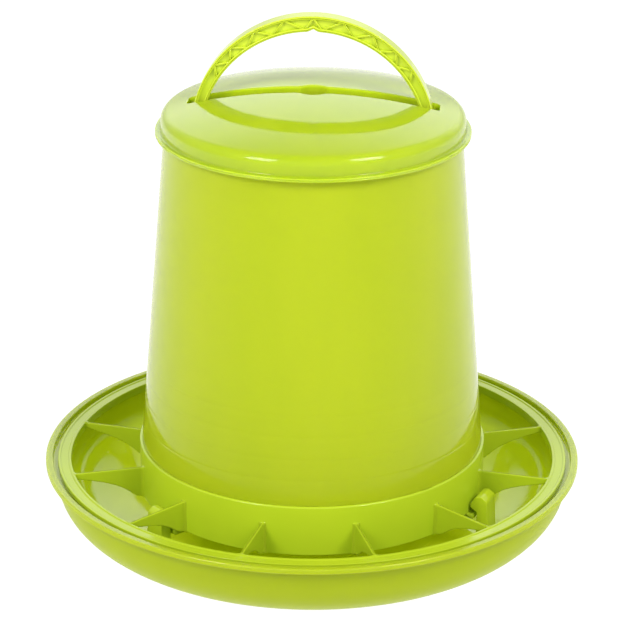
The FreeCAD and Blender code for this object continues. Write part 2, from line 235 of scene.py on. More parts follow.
class Nodes:
    """A short way to build a material's node tree."""

    def __init__(self, name):
        self.material = bpy.data.materials.new(name)
        self.material.use_nodes = True
        self.tree = self.material.node_tree
        self.shader = self.tree.nodes["Principled BSDF"]

    def add(self, kind, **settings):
        node = self.tree.nodes.new("ShaderNode" + kind)
        for key, value in settings.items():
            if key in node.inputs:
                node.inputs[key].default_value = value
            else:
                setattr(node, key, value)
        return node

    def link(self, source, target):
        self.tree.links.new(source, target)

    def coordinates(self, scale=(1, 1, 1)):
        place = self.add("TexCoord").outputs["Object"]
        mapping = self.add("Mapping")
        mapping.inputs["Scale"].default_value = scale
        self.link(place, mapping.inputs["Vector"])
        return mapping.outputs["Vector"]

    def noise(self, size, detail=3.0, scale=(1, 1, 1)):
        node = self.add("TexNoise", Scale=1 / size, Detail=detail)
        self.link(self.coordinates(scale), node.inputs["Vector"])
        return node.outputs["Fac"]

    def ramp(self, value, *stops):
        """stops are (place, number) or (place, colour)."""
        node = self.add("ValToRGB")
        elements = node.color_ramp.elements
        while len(elements) < len(stops):
            elements.new(0.5)
        for element, (place, colour) in zip(elements, stops):
            element.position = place
            element.color = (*colour, 1) if isinstance(colour, tuple) else (colour, colour, colour, 1)
        self.link(value, node.inputs["Fac"])
        return node.outputs["Color"]

    def mix(self, share, first, second):
        node = self.add("Mix", data_type="RGBA")
        for value, socket in ((share, node.inputs[0]), (first, node.inputs[6]), (second, node.inputs[7])):
            if isinstance(value, bpy.types.NodeSocket):
                self.link(value, socket)
            else:
                socket.default_value = value if isinstance(value, float) else (*value, 1)
        return node.outputs[2]

    def bump(self, height, distance, strength=1.0, under=None):
        node = self.add("Bump", Strength=strength, Distance=distance)
        self.link(height, node.inputs["Height"])
        if under is not None:
            self.link(under, node.inputs["Normal"])
        return node.outputs["Normal"]

    def axis_distance(self):
        """How far a point is from the object's Z axis."""
        flat = self.add("VectorMath", operation="MULTIPLY")
        flat.inputs[1].default_value = (1, 1, 0)
        self.link(self.add("TexCoord").outputs["Object"], flat.inputs[0])
        length = self.add("VectorMath", operation="LENGTH")
        self.link(flat.outputs["Vector"], length.inputs[0])
        return length.outputs["Value"]

    def upward(self, unsigned=False):
        """The Z part of the object's own normal."""
        split = self.add("SeparateXYZ")
        self.link(self.add("TexCoord").outputs["Normal"], split.inputs[0])
        if not unsigned:
            return split.outputs["Z"]
        size = self.add("Math", operation="ABSOLUTE")
        self.link(split.outputs["Z"], size.inputs[0])
        return size.outputs[0]


def srgb(red, green, blue):
    """A colour given as 0 to 255 screen values, as linear light."""
    return tuple(v / 12.92 if v <= 0.04045 else ((v + 0.055) / 1.055) ** 2.4
                 for v in (red / 255, green / 255, blue / 255))


def scaled(colour, *shares):
    """A colour times one share, or times one share for each channel."""
    if len(shares) == 1:
        shares = shares * 3
    return tuple(value * share for value, share in zip(colour, shares))


# Painted light: how much brighter the base colour of the lid's slot walls is.
SLOT_WALL_PAINTED_LIGHT_SHARE = 1.3
# Painted shade: the share of the colour left on the bowl's outside.
BOWL_PAINTED_SHADE_SHARE = 0.67
SATIN_SHEEN = 0.07
# The rim band that also gets the bowl's painted shade.
PAN_RIM_PAINTED_SHADE_BAND = (137 * MM, 141 * MM)


def lime_plastic(name, colour, depth=0.0, flow=(1, 1, 1), gloss=0.07, sheen=(0.1, 0.5), painted_edge_lightness=1.0,
                 satin=0.0, painted_light_radius=0.0):
    """Glossy moulded polypropylene: slightly uneven dye, painted light that makes thin edges paler, faint
    ripple and fine scuffs.

    depth: how far light wanders in the plastic.
    flow: the stretch of the dye's streaks and the ripple along each axis.
    gloss: the roughness.
    sheen: the specular level seen square-on and at a grazing angle.
    wear: how much painted light makes the edges paler, or how much painted shade makes them darker if it is
    below 0.
    satin: the roughness of faces that look outward or down, which also have less sheen and a darker base colour
    as painted shade. The rim band gets the painted shade too.
    glow: painted light: upright faces nearer the axis than this get a brighter base colour, standing in for
    thin walls lit from both sides.
    """
    nodes = Nodes(name)
    deep = scaled(colour, 0.93, 0.955, 0.9)
    # Painted light: thin edges get a paler, bluer base colour that stands in for light through thin plastic; a
    # negative setting makes it painted shade that darkens them.
    painted_edge_colour = scaled(colour, 1.05, 1.03, 1.3) if painted_edge_lightness > 0 else (0, 0, 0)
    dye = nodes.ramp(nodes.noise(38 * MM, 2.0, flow), (0.3, deep), (0.7, colour))
    pointiness = nodes.add("NewGeometry").outputs["Pointiness"]
    edge = nodes.ramp(pointiness, (0.515, 0.0), (0.58, abs(painted_edge_lightness)))
    tone = nodes.mix(edge, dye, painted_edge_colour)
    smudge = nodes.ramp(nodes.noise(9 * MM, 4.0), (0.35, gloss - 0.02), (0.75, gloss + 0.05))
    facing = nodes.add("LayerWeight", Blend=0.5).outputs["Facing"]
    level = nodes.ramp(facing, (0.1, sheen[0]), (0.65, sheen[1]))
    # Painted light: the slot's upright walls get a brighter base colour.
    if painted_light_radius:
        upright = nodes.ramp(nodes.upward(unsigned=True), (0.2, 1.0), (0.5, 0.0))
        near = nodes.ramp(nodes.axis_distance(), (painted_light_radius, 1.0), (painted_light_radius + 1 * MM, 0.0))
        painted_light_mask = nodes.mix(near, (0, 0, 0), upright)
        tone = nodes.mix(painted_light_mask, tone, scaled(colour, SLOT_WALL_PAINTED_LIGHT_SHARE))
    # Painted shade: faces that look outward or down, and the rim band, get a darker base colour.
    if satin:
        under = nodes.ramp(nodes.upward(), (0.0, 1.0), (0.12, 0.0))
        smudge = nodes.mix(under, smudge, (satin, satin, satin))
        level = nodes.mix(under, level, (SATIN_SHEEN, SATIN_SHEEN, SATIN_SHEEN))
        rim = nodes.ramp(nodes.axis_distance(), (PAN_RIM_PAINTED_SHADE_BAND[0], 0.0), (PAN_RIM_PAINTED_SHADE_BAND[1], 1.0))
        painted_shade_mask = nodes.mix(rim, under, (1, 1, 1))
        tone = nodes.mix(painted_shade_mask, tone, scaled(colour, BOWL_PAINTED_SHADE_SHARE))
    nodes.link(tone, nodes.shader.inputs["Base Color"])
    nodes.link(smudge, nodes.shader.inputs["Roughness"])
    nodes.link(level, nodes.shader.inputs["Specular IOR Level"])
    ripple = nodes.bump(nodes.noise(16 * MM, 1.0, flow), 0.25 * MM, 0.1)
    grain = nodes.bump(nodes.noise(0.9 * MM, 2.0), 0.02 * MM, 0.12, ripple)
    nodes.link(grain, nodes.shader.inputs["Normal"])
    nodes.shader.inputs["IOR"].default_value = 1.49
    nodes.shader.inputs["Subsurface Weight"].default_value = 1.0 if depth else 0.0
    nodes.shader.inputs["Subsurface Radius"].default_value = (1.0, 1.0, 0.25)
    nodes.shader.inputs["Subsurface Scale"].default_value = depth
    return nodes.material


# Light wanders only in the hopper, lid and pan. They are one shell where they show; where closed shells
# overlap, as in the handle and the grille, it would leave seams.
# All these finishes paint their thin edges paler as painted light, except the hub's, whose edges get painted
# shade.
hopper_finish = lime_plastic("hopper_lime", srgb(179, 193, 33), depth=4 * MM, flow=(1, 1, 0.25),
                             sheen=(0.1, 0.42))
# The lid's slot walls get painted light.
lid_finish = lime_plastic("lid_lime", srgb(177, 197, 34), depth=4 * MM, sheen=(0.3, 0.8), painted_light_radius=69 * MM)
handle_finish = lime_plastic("handle_lime", srgb(202, 220, 50), sheen=(0.2, 0.7))
grille_finish = lime_plastic("grille_lime", srgb(178, 198, 36), sheen=(0.15, 0.45))
# The hub's base colour is brighter than the grille's as painted light against the shade in the trough, and its
# edges get painted shade.
hub_finish = lime_plastic("hub_lime", srgb(193, 216, 42), sheen=(0.35, 0.5), painted_edge_lightness=-0.3)
# The pan's outside and rim get painted shade.
pan_finish = lime_plastic("pan_lime", srgb(192, 209, 42), depth=8 * MM, gloss=0.05, sheen=(0.3, 0.5),
                          satin=0.35)
hook_finish = lime_plastic("hook_lime", srgb(190, 209, 38))


# ---- pan ----------------------------------------------------------------------------------------

rim_lip_width = 4.0 * MM
pan_wall = 2.0 * MM
bowl_radius = rim_radius - 5.5 * MM
bowl_top_z = rim_z - 5.0 * MM
base_radius = 82.6 * MM
bowl_r_power = 1.127
bowl_z_power = 0.766
foot_ring_inner = 71.0 * MM
cone_height = 26.0 * MM
cone_tip_radius = 12.0 * MM
ledge_z = rim_z - 3.0 * MM
grille_turn = math.radians(3.8)
hook_azimuths = (-22, -142, 98)
hook_radius = 105.3 * MM
hook_half_thickness = 3.7 * MM
hook_pad_z = 8.0 * MM
hook_pad_half = 5.5 * MM
hook_pad_width = 18.0 * MM


def bowl_points(inset, count=26):
    """The bowl's wall from its rim down to its flat floor."""
    points = []
    for step in range(count + 1):
        turn = math.pi / 2 * step / count
        across = max(math.cos(turn), 0.0) ** bowl_r_power
        down = math.sin(turn) ** bowl_z_power if step else 0.0
        radius = base_radius + (bowl_radius - inset - base_radius) * across
        points.append((radius, bowl_top_z - (bowl_top_z - inset) * down))
    return points


def cone_points(foot_radius, foot_z, tip_radius, steps=9):
    """A cone from its foot up to its round tip on the axis."""
    centre_z = cone_height - cone_tip_radius
    reach = math.hypot(foot_radius, centre_z - foot_z)
    slope = math.atan2(centre_z - foot_z, foot_radius) + math.asin(tip_radius / reach)
    points = [(foot_radius + 1.2 * MM, foot_z), (foot_radius, foot_z, 4 * MM)]
    for k in range(steps + 1):
        turn = slope * (1 - k / steps)
        points.append((tip_radius * math.sin(turn), centre_z + tip_radius * math.cos(turn)))
    return points


def make_pan():
    rim_inner = rim_radius - rim_lip_width
    under = cone_points(foot_ring_inner, 0.0, cone_tip_radius - pan_wall)
    over = cone_points(foot_ring_inner + 1 * MM, pan_wall, cone_tip_radius)
    corners = list(reversed(under)) + [(base_radius - 1.5 * MM, 0, 1.0 * MM)]
    corners += [(r, z) for r, z in reversed(bowl_points(0)[:-2])]
    corners += [(rim_radius - 2.2 * MM, rim_z - 4.0 * MM, 1.2 * MM),
                (rim_radius, rim_z - 2.6 * MM, 0.6 * MM), (rim_radius, rim_z, 0.8 * MM),
                (rim_inner, rim_z, 0.6 * MM), (rim_inner, ledge_z, 0.3 * MM),
                (bowl_radius - pan_wall - 0.4 * MM, ledge_z, 0.5 * MM)]
    corners += [(r, z) for r, z in bowl_points(pan_wall)[1:]] + over
    return lathe("bowl", rounded(corners, closed=False))


def hook_pads():
    """The raised pads in the pan that the snap hooks stand on."""
    inner, outer = hook_radius - hook_pad_half, hook_radius + hook_pad_half
    outline = rounded([(inner, 3 * MM), (outer, 5 * MM), (outer, hook_pad_z, 1 * MM),
                       (inner, hook_pad_z, 1 * MM)])
    return [turned(plate("pad", outline, hook_pad_width, 0.6 * MM), angle) for angle in hook_angles()]


def hook_angles():
    return [math.radians(azimuth) + grille_turn for azimuth in hook_azimuths]


# ---- grille -------------------------------------------------------------------------------------

ring_inner = ring_outer - 7.5 * MM
ring_top_z = rim_z - 1.1 * MM
fin_count = 12
fin_top_z = rim_z - 0.8 * MM
fin_lower_edge = [(0.0, 18.6), (4.0, 17.7), (7.0, 15.8), (10.3, 13.3), (14.0, 11.1), (19.0, 9.0),
                  (23.6, 7.5), (28.0, 6.4), (33.0, 5.2), (38.7, 4.0)]
fin_half_thickness = 0.85 * MM
fin_fillet = 1.6 * MM
hub_bottom_z = hub_top_z - 28.3 * MM
hub_bore = hub_outer - 1.5 * MM
flange_inner_radius = 88.0 * MM
flange_height = 2.0 * MM
flange_middle = 125
flange_sweep = 103
tab_inner_radius = 93.0 * MM
tab_outer_radius = 100.3 * MM
tab_top_z = rim_z - 19.2 * MM
tab_thickness = 2.7 * MM
tab_width = 16.0 * MM


def make_ring():
    """A flat ring with a fine raised line along each edge and a lip below its inner edge."""
    low = ring_top_z
    high = ring_top_z + 0.5 * MM
    corners = [(ring_inner, ledge_z - 2.4 * MM, 0.4 * MM), (ring_inner, high, 0.45 * MM),
               (ring_inner + 1.3 * MM, high, 0.5 * MM), (ring_inner + 1.9 * MM, low, 0.5 * MM),
               (ring_outer - 1.9 * MM, low, 0.5 * MM), (ring_outer - 1.3 * MM, high, 0.5 * MM),
               (ring_outer, high, 0.45 * MM), (ring_outer, ledge_z, 0.3 * MM),
               (ring_inner + 2.6 * MM, ledge_z, 0.6 * MM),
               (ring_inner + 1.6 * MM, ledge_z - 2.4 * MM, 0.4 * MM)]
    return lathe("ring", rounded(corners, steps=4, hold=0.2 * MM))


def fin_low_z(r):
    """The arched lower edge of a fin: deep at the hub, shallow at the ring."""
    out, down = np.array(fin_lower_edge).T
    slope = np.gradient(down, out)
    at = min(max((r - hub_outer) / MM, out[0]), out[-1])
    left = min(int(np.searchsorted(out, at, side="right")) - 1, len(out) - 2)
    span = out[left + 1] - out[left]
    t = (at - out[left]) / span
    depth = (down[left] * (1 + 2 * t) * (1 - t) ** 2 + span * slope[left] * t * (1 - t) ** 2
             + down[left + 1] * t * t * (3 - 2 * t) - span * slope[left + 1] * t * t * (1 - t))
    return rim_z - depth * MM


def make_fin(angle, stations=30):
    """One fin as a loft of rounded sections from hub to ring, with a small fillet at each end."""
    start = hub_outer - 0.6 * MM
    end = ring_inner + 0.6 * MM
    rows = []
    for step in range(stations + 1):
        share = 0.5 - 0.5 * math.cos(math.pi * step / stations)
        r = start + (end - start) * share
        near = min(max(r - hub_outer, 0.0), max(ring_inner - r, 0.0), fin_fillet)
        flare = fin_fillet - math.sqrt(fin_fillet ** 2 - (fin_fillet - near) ** 2)
        half = fin_half_thickness + flare
        low = fin_low_z(r) - 0.4 * flare
        high = fin_top_z + 0.25 * flare
        edge = min(0.6 * MM, half * 0.9)
        top_half = half * 0.92
        corners = [(-half, low, edge), (half, low, edge), (top_half, high, edge), (-top_half, high, edge)]
        row = rounded(corners, steps=3, hold=0.3 * MM)
        rows.append([(r, y, z) for y, z in row])
    return turned(loft("fin", rows), angle)


def make_hub():
    corners = [(hub_bore, hub_bottom_z + 1 * MM), (hub_bore, hub_bottom_z),
               (hub_outer, hub_bottom_z, 0.4 * MM), (hub_outer, hub_top_z, 1.2 * MM),
               (hub_bore, hub_top_z, 0.1 * MM)]
    return lathe("hub", rounded(corners, steps=4, hold=0.3 * MM))


def hub_flange():
    """The inward flange that the hopper rests on, with a gap for each bayonet foot."""
    low, high = hub_bottom_z, hub_bottom_z + flange_height
    inner, outer = flange_inner_radius, hub_bore + 0.5 * MM
    outline = rounded([(inner, low, 0.4 * MM), (outer, low), (outer, high), (inner, high, 0.4 * MM)], steps=2)
    middles = [math.radians(flange_middle + 120 * number) for number in range(3)]
    return [sector("flange", outline, middle, math.radians(flange_sweep), 40) for middle in middles]


def hook_tabs():
    """The shelf under the hub that each hook's nose holds."""
    low = tab_top_z - tab_thickness
    corners = [(tab_inner_radius, low, 0.4 * MM), (tab_outer_radius, low, 0.5 * MM),
               (tab_outer_radius, tab_top_z, 0.5 * MM), (hub_outer, tab_top_z, 0.5 * MM),
               (hub_outer, hub_bottom_z + 1 * MM), (tab_inner_radius, hub_bottom_z + 1 * MM)]
    outline = rounded(corners, steps=3, hold=0.2 * MM)
    return [sector("tab", outline, angle, tab_width / tab_outer_radius) for angle in hook_angles()]


def make_grille():
    fins = [make_fin(FULL_TURN / fin_count * (k + 0.5) + grille_turn) for k in range(fin_count)]
    return joined("grille_spokes", [make_ring(), *fins])


# ---- hopper -------------------------------------------------------------------------------------

hopper_wall = 2.0 * MM
collar_top_z = rim_z + 12.5 * MM
hopper_top_radius = 80.4 * MM
mouth_radius = 84.0 * MM
seat_z = hub_bottom_z + flange_height
seat_thickness = 2.5 * MM
mark_steps = (2, 3, 4, 5)
mark_spacing = 12.0 * MM
mark_profile = ((-1.1, 0.0), (-0.6, 0.0), (-0.15, 0.05), (0.15, 0.05), (0.6, 0.0), (1.1, 0.0))
bayonet_inner_radius = 84.0 * MM
bayonet_neck_radius = 87.5 * MM
bayonet_outer_radius = 92.0 * MM
bayonet_thickness = 2.6 * MM
pocket_low_z = rim_z + 160.0 * MM
pocket_high_z = rim_z + 181.0 * MM
pocket_face_radius = 69.0 * MM
pocket_back_radius = 75.6 * MM
pocket_cheek_y = 6.9 * MM
pocket_window_z = (rim_z + 166.5 * MM, rim_z + 172.8 * MM)


def hopper_radius(z):
    share = (z - collar_top_z) / (hopper_top_z - collar_top_z)
    return collar_radius + (hopper_top_radius - collar_radius) * max(share, 0.0)


def make_hopper():
    """The drum, with fine marks round it above the hub and a seat turned in at its foot."""
    outer = [(collar_radius, seat_z, 0.5 * MM), (collar_radius, collar_top_z, 6 * MM)]
    for step in mark_steps:
        z = rim_z + mark_spacing * step
        for drop, cut in mark_profile:
            outer.append((hopper_radius(z + drop * MM) - cut * MM, z + drop * MM))
    outer += [(hopper_radius(z), z) for z in np.linspace(rim_z + 70 * MM, hopper_top_z - 12 * MM, 8)]
    inner = [(hopper_radius(z) - hopper_wall, z)
             for z in np.linspace(hopper_top_z - 12 * MM, collar_top_z + 8 * MM, 8)]
    corners = [(mouth_radius, seat_z, 0.5 * MM)] + outer
    corners += [(hopper_top_radius, hopper_top_z, 0.6 * MM),
                (hopper_top_radius - hopper_wall, hopper_top_z, 0.6 * MM)]
    corners += inner + [(collar_radius - hopper_wall, collar_top_z, 5 * MM),
                        (collar_radius - hopper_wall, seat_z + seat_thickness, 1.5 * MM),
                        (mouth_radius, seat_z + seat_thickness, 0.8 * MM)]
    return lathe("hopper_drum", rounded(corners))


def bayonet_feet():
    """Feet that reach through the hub's flange and out under it."""
    under = hub_bottom_z - 0.4 * MM
    low, high = under - bayonet_thickness, seat_z + 1 * MM
    corners = [(bayonet_inner_radius, high), (bayonet_inner_radius, low, 0.5 * MM),
               (bayonet_outer_radius, low, 0.5 * MM), (bayonet_outer_radius, under, 0.5 * MM),
               (bayonet_neck_radius, under, 0.4 * MM), (bayonet_neck_radius, high)]
    outline = rounded(corners, steps=3, hold=0.2 * MM)
    return [sector("foot", outline, math.radians(45 + 120 * k), math.radians(14)) for k in range(3)]


def handle_pocket():
    """The pocket inside the hopper that takes one foot of the handle: back pad, cheeks, front bridge."""
    low, high = pocket_low_z, pocket_high_z
    low_wall, high_wall = hopper_radius(low) - 1 * MM, hopper_radius(high) - 1 * MM
    face, back = pocket_face_radius, pocket_back_radius
    cheek_outline = rounded([(face, low, 1 * MM), (low_wall, low), (high_wall, high), (face, high, 1.5 * MM)])
    pieces = []
    for side in (-1, 1):
        cheek = plate("cheek", cheek_outline, 3.2 * MM, 0.5 * MM)
        cheek.data.transform(Matrix.Translation((0, side * pocket_cheek_y, 0)))
        pieces.append(cheek)
    floor_top = low + 2.5 * MM
    floor_face = face + 0.2 * MM
    floor_outline = rounded([(floor_face, low, 0.6 * MM), (low_wall, low), (low_wall, floor_top),
                             (floor_face, floor_top)])
    back_outline = rounded([(back, low + 1 * MM), (low_wall, low + 1 * MM), (high_wall, high),
                            (back, high, 0.5 * MM)])
    pieces += [plate("floor", floor_outline, 12 * MM), plate("back", back_outline, 12 * MM)]
    bridge_back = face + 2 * MM
    for bottom, top in ((low + 1 * MM, pocket_window_z[0]), (pocket_window_z[1], high)):
        outline = rounded([(face, bottom, 0.5 * MM), (bridge_back, bottom, 0.5 * MM),
                           (bridge_back, top, 0.5 * MM), (face, top, 0.5 * MM)])
        pieces.append(plate("bridge", outline, 13 * MM))
    return pieces


# ---- lid ----------------------------------------------------------------------------------------

dome_top_z = rim_z + 212.0 * MM
dome_radius = 288.0 * MM
lid_wall_radius = bead_radius - 3.0 * MM
lid_shoulder = 5.5 * MM
lid_thickness = 2.0 * MM
lid_bore = lid_wall_radius - 1.5 * MM
plug_outer = 77.3 * MM
plug_inner = 75.8 * MM
plug_bottom_z = rim_z + 190 * MM
slot_half_length = 68.0 * MM
slot_half_width = 5.5 * MM
slot_corner = 2.0 * MM
eye_radius = 8.75 * MM
slot_depth = 7.0 * MM
slot_rim = 1.5 * MM
slot_edge = 0.7 * MM


def dome_z(r, drop=0.0):
    """The height of the dome at a radius, or of a surface this far below it."""
    return dome_top_z - drop - dome_radius + math.sqrt(dome_radius ** 2 - r ** 2)


def slot_cap(reach, grow):
    """The points round one squared end of the slot, without the two where its sides begin."""
    corner = slot_corner + grow
    middle = slot_half_width - slot_corner
    quarter = np.linspace(0, math.pi / 2, 10)
    points = [(reach + corner * math.sin(a), -middle - corner * math.cos(a)) for a in quarter[1:]]
    points += [(reach + corner, y) for y in np.linspace(-middle, middle, 8)[1:-1]]
    return points + [(reach + corner * math.cos(a), middle + corner * math.sin(a)) for a in quarter[:-1]]


def slot_outline(grow, side_count=104):
    """Points round the slot and its eye, grown outward. Every call gives as many points, in the same order."""
    reach = slot_half_length - slot_corner
    half = slot_half_width + grow
    blend = 0.8 * MM

    def half_width(x):
        eye = math.sqrt(max((eye_radius + grow) ** 2 - x ** 2, 0.0))
        gap = max(1 - abs(half - eye) / (2 * blend), 0.0)
        return max(half, eye) + blend * gap * gap / 2

    shares = np.linspace(1, -1, side_count + 1)
    side = [reach * math.copysign(abs(s) ** 1.5, s) for s in shares]
    cap = slot_cap(reach, grow)
    outline = cap + [(x, half_width(x)) for x in side]
    return outline + [(-x, -y) for x, y in outline]


def circle_angles(side_count=104):
    """For each point of the slot's outline, the direction of its partner on the lid's outer circles."""
    corner = math.radians(24)
    cap_count = len(slot_cap(0, 0))
    shares = np.linspace(1, -1, side_count + 1)
    side = [math.acos(math.cos(corner) * math.copysign(abs(s) ** 1.5, s)) for s in shares]
    half = list(np.linspace(-corner, corner, cap_count + 2)[1:-1]) + side
    return half + [a + math.pi for a in half]


def dome_rows(start, radius, drop, count):
    """Rows on the dome from an outline out to a circle."""
    angles = circle_angles()
    rows = []
    for step in range(count + 1):
        share = (step / count) ** 1.25
        row = []
        for (x, y), angle in zip(start, angles):
            px = x + (radius * math.cos(angle) - x) * share
            py = y + (radius * math.sin(angle) - y) * share
            row.append((px, py, dome_z(math.hypot(px, py), drop)))
        rows.append(row)
    return rows


def make_lid():
    """One closed skin: the dome, the shoulder and beads, the underside, and the walls of the slot."""
    shoulder_r = lid_wall_radius - lid_shoulder
    lean = math.asin(shoulder_r / (dome_radius - lid_shoulder))
    meet_r = dome_radius * math.sin(lean)
    shoulder_z = dome_z(meet_r) - lid_shoulder * math.cos(lean)
    bead_top_z = bead_bottom_z + 2.0 * MM
    arc = [(shoulder_r + lid_shoulder * math.sin(a), shoulder_z + lid_shoulder * math.cos(a))
           for a in np.linspace(lean, math.pi / 2, 12)]
    corners = arc + [(lid_wall_radius, bead_top_z, 1.0 * MM), (bead_radius, bead_top_z, 0.45 * MM),
                     (bead_radius, bead_bottom_z + 1.25 * MM, 0.2 * MM),
                     (bead_radius - 0.2 * MM, bead_bottom_z + 1.0 * MM, 0.15 * MM),
                     (bead_radius, bead_bottom_z + 0.75 * MM, 0.2 * MM), (bead_radius, bead_bottom_z, 0.4 * MM),
                     (lid_bore + 0.3 * MM, bead_bottom_z, 0.4 * MM),
                     (lid_bore - 0.3 * MM, hopper_top_z, 0.3 * MM), (plug_outer, hopper_top_z, 0.3 * MM),
                     (plug_outer, plug_bottom_z, 0.5 * MM), (plug_inner, plug_bottom_z, 0.5 * MM),
                     (plug_inner, dome_z(plug_inner, lid_thickness))]
    outline = rounded(corners, closed=False, steps=4, hold=0.3 * MM)
    angles = circle_angles()
    over = dome_rows(slot_outline(slot_edge), meet_r, 0.0, 24)
    side = [[(r * math.cos(a), r * math.sin(a), z) for a in angles] for r, z in outline[1:-1]]
    under = list(reversed(dome_rows(slot_outline(slot_rim), plug_inner, lid_thickness, 16)))
    collar_edge = 0.5 * MM
    chamfer = 0.15 * MM
    collar = [(slot_rim, slot_depth - collar_edge), (slot_rim - chamfer, slot_depth - chamfer),
              (slot_rim - collar_edge, slot_depth), (collar_edge, slot_depth),
              (chamfer, slot_depth - chamfer), (0.0, slot_depth - collar_edge), (0.0, slot_edge + 0.3 * MM)]
    collar += [(slot_edge * (1 - math.cos(turn)), slot_edge * (1 - math.sin(turn)))
               for turn in np.linspace(0, math.pi / 2, 6)[:-1]]
    walls = [[(x, y, dome_z(math.hypot(x, y), drop)) for x, y in slot_outline(grow)] for grow, drop in collar]
    return new_piece("lid_cap", *skin(over + side + under + walls))


# ---- handle -------------------------------------------------------------------------------------

arch_outer_radius = 66.2 * MM
arch_outer_z = handle_top_z - arch_outer_radius
arch_inner_radius = 60.5 * MM
arch_inner_z = arch_outer_z - 2.8 * MM
flange_width = 10.0 * MM
flange_thickness = 1.8 * MM
web_thickness = 5.6 * MM
leg_bend_z = rim_z + 193.0 * MM
rib_outer_angles = (0.0, 13.5, 28.0, 41.4, 52.7)
rib_inner_angles = (4.2, 20.2, 34.5, 46.5, 57.3)
rib_width = 9.1 * MM
rib_thickness = 1.1 * MM
notch_half_width = 3.2 * MM
notch_depth = 1.5 * MM
tongue_outer_x = 75.3 * MM
tongue_inner_x = 71.3 * MM
tongue_top_z = rim_z + 185.0 * MM
tongue_foot_z = rim_z + 162.5 * MM
barb_top_z = rim_z + 172.5 * MM
barb_foot_z = rim_z + 167.0 * MM


def polar(centre_z, radius, angle):
    turn = math.radians(angle)
    return radius * math.cos(turn), centre_z + radius * math.sin(turn)


def strip(name, centre_line, width, thickness, edge):
    """A band of rounded section along a line in the XZ plane."""
    half, deep = width / 2, thickness / 2
    rows = []
    last = len(centre_line) - 1
    for number, (x, z) in enumerate(centre_line):
        before = centre_line[max(number - 1, 0)]
        after = centre_line[min(number + 1, last)]
        along = Vector((after[0] - before[0], after[1] - before[1])).normalized()
        side = Vector((-along.y, along.x))
        section = rounded([(-half, -deep, edge), (half, -deep, edge), (half, deep, edge), (-half, deep, edge)],
                          steps=4, hold=0.3 * MM)
        rows.append([(x + side.x * out, across, z + side.y * out) for across, out in section])
    return loft(name, rows)


def arch_line(centre_z, radius, count=96):
    start = math.degrees(math.asin((leg_bend_z - centre_z) / radius))
    return [polar(centre_z, radius, angle) for angle in np.linspace(start, 180 - start, count + 1)]


def inner_flange_line():
    """The inner flange's middle line, with the hanging notch pressed up into it at the crown."""
    line = []
    for x, z in arch_line(arch_inner_z, arch_inner_radius + flange_thickness / 2, 240):
        dent = max(1 - abs(x) / notch_half_width, 0.0)
        line.append((x, z + notch_depth * dent))
    return line


def arch_web():
    outer = arch_line(arch_outer_z, arch_outer_radius - 0.5 * MM)
    inner = arch_line(arch_inner_z, arch_inner_radius + 0.8 * flange_thickness)
    return plate("web", outer + list(reversed(inner)), web_thickness)


def on_outer_flange(angle):
    """The point in the outer flange that lies at this angle from the inner arch's centre."""
    turn = math.radians(angle)
    radius = arch_outer_radius - flange_thickness * 0.6
    offset = arch_outer_z - arch_inner_z
    reach = offset * math.sin(turn) + math.sqrt(radius ** 2 - (offset * math.cos(turn)) ** 2)
    return polar(arch_inner_z, reach, angle)


def arch_ribs():
    """Ribs that zigzag between the two flanges, the same on both sides of the crown."""
    ribs = []
    for side in (1, -1):
        points = []
        for outer, inner in zip(rib_outer_angles, rib_inner_angles):
            points.append(on_outer_flange(90 - side * outer))
            points.append(polar(arch_inner_z, arch_inner_radius + flange_thickness * 0.6, 90 - side * inner))
        for start, end in zip(points, points[1:]):
            line = [(start[0] + (end[0] - start[0]) * s, start[1] + (end[1] - start[1]) * s)
                    for s in (0, 0.5, 1)]
            ribs.append(strip("rib", line, rib_width, rib_thickness, 0.35 * MM))
    return ribs


def handle_leg():
    """One leg: it leans out under the lid and ends in an upright tongue."""
    outer_x = math.sqrt(arch_outer_radius ** 2 - (leg_bend_z - arch_outer_z) ** 2)
    inner_x = math.sqrt(arch_inner_radius ** 2 - (leg_bend_z - arch_inner_z) ** 2)
    outline = rounded([(outer_x, leg_bend_z + 2 * MM), (outer_x, leg_bend_z - 1 * MM, 6 * MM),
                       (tongue_outer_x, tongue_top_z, 3 * MM), (tongue_outer_x, tongue_foot_z, 0.8 * MM),
                       (tongue_inner_x, tongue_foot_z, 0.8 * MM),
                       (tongue_inner_x, tongue_top_z - 3 * MM, 2 * MM),
                       (inner_x, leg_bend_z - 3 * MM, 6 * MM), (inner_x, leg_bend_z + 2 * MM)])
    leg = plate("leg", outline, flange_width, 0.5 * MM)
    root = tongue_inner_x + 0.3 * MM
    barb_outline = [(root, barb_top_z), (root - 1.7 * MM, barb_top_z), (root, barb_foot_z)]
    return [leg, plate("barb", barb_outline, 6 * MM, 0.2 * MM)]


def make_handle():
    outer_line = arch_line(arch_outer_z, arch_outer_radius - flange_thickness / 2)
    outer = strip("outer", outer_line, flange_width, flange_thickness, 0.7 * MM)
    inner = strip("inner", inner_flange_line(), flange_width, flange_thickness, 0.7 * MM)
    legs = handle_leg() + [mirrored(piece) for piece in handle_leg()]
    return joined("handle_arch", [outer, inner, arch_web(), *arch_ribs(), *legs])


# ---- snap hooks ---------------------------------------------------------------------------------

hook_width = 13.5 * MM
hook_nose_radius = 97.9 * MM


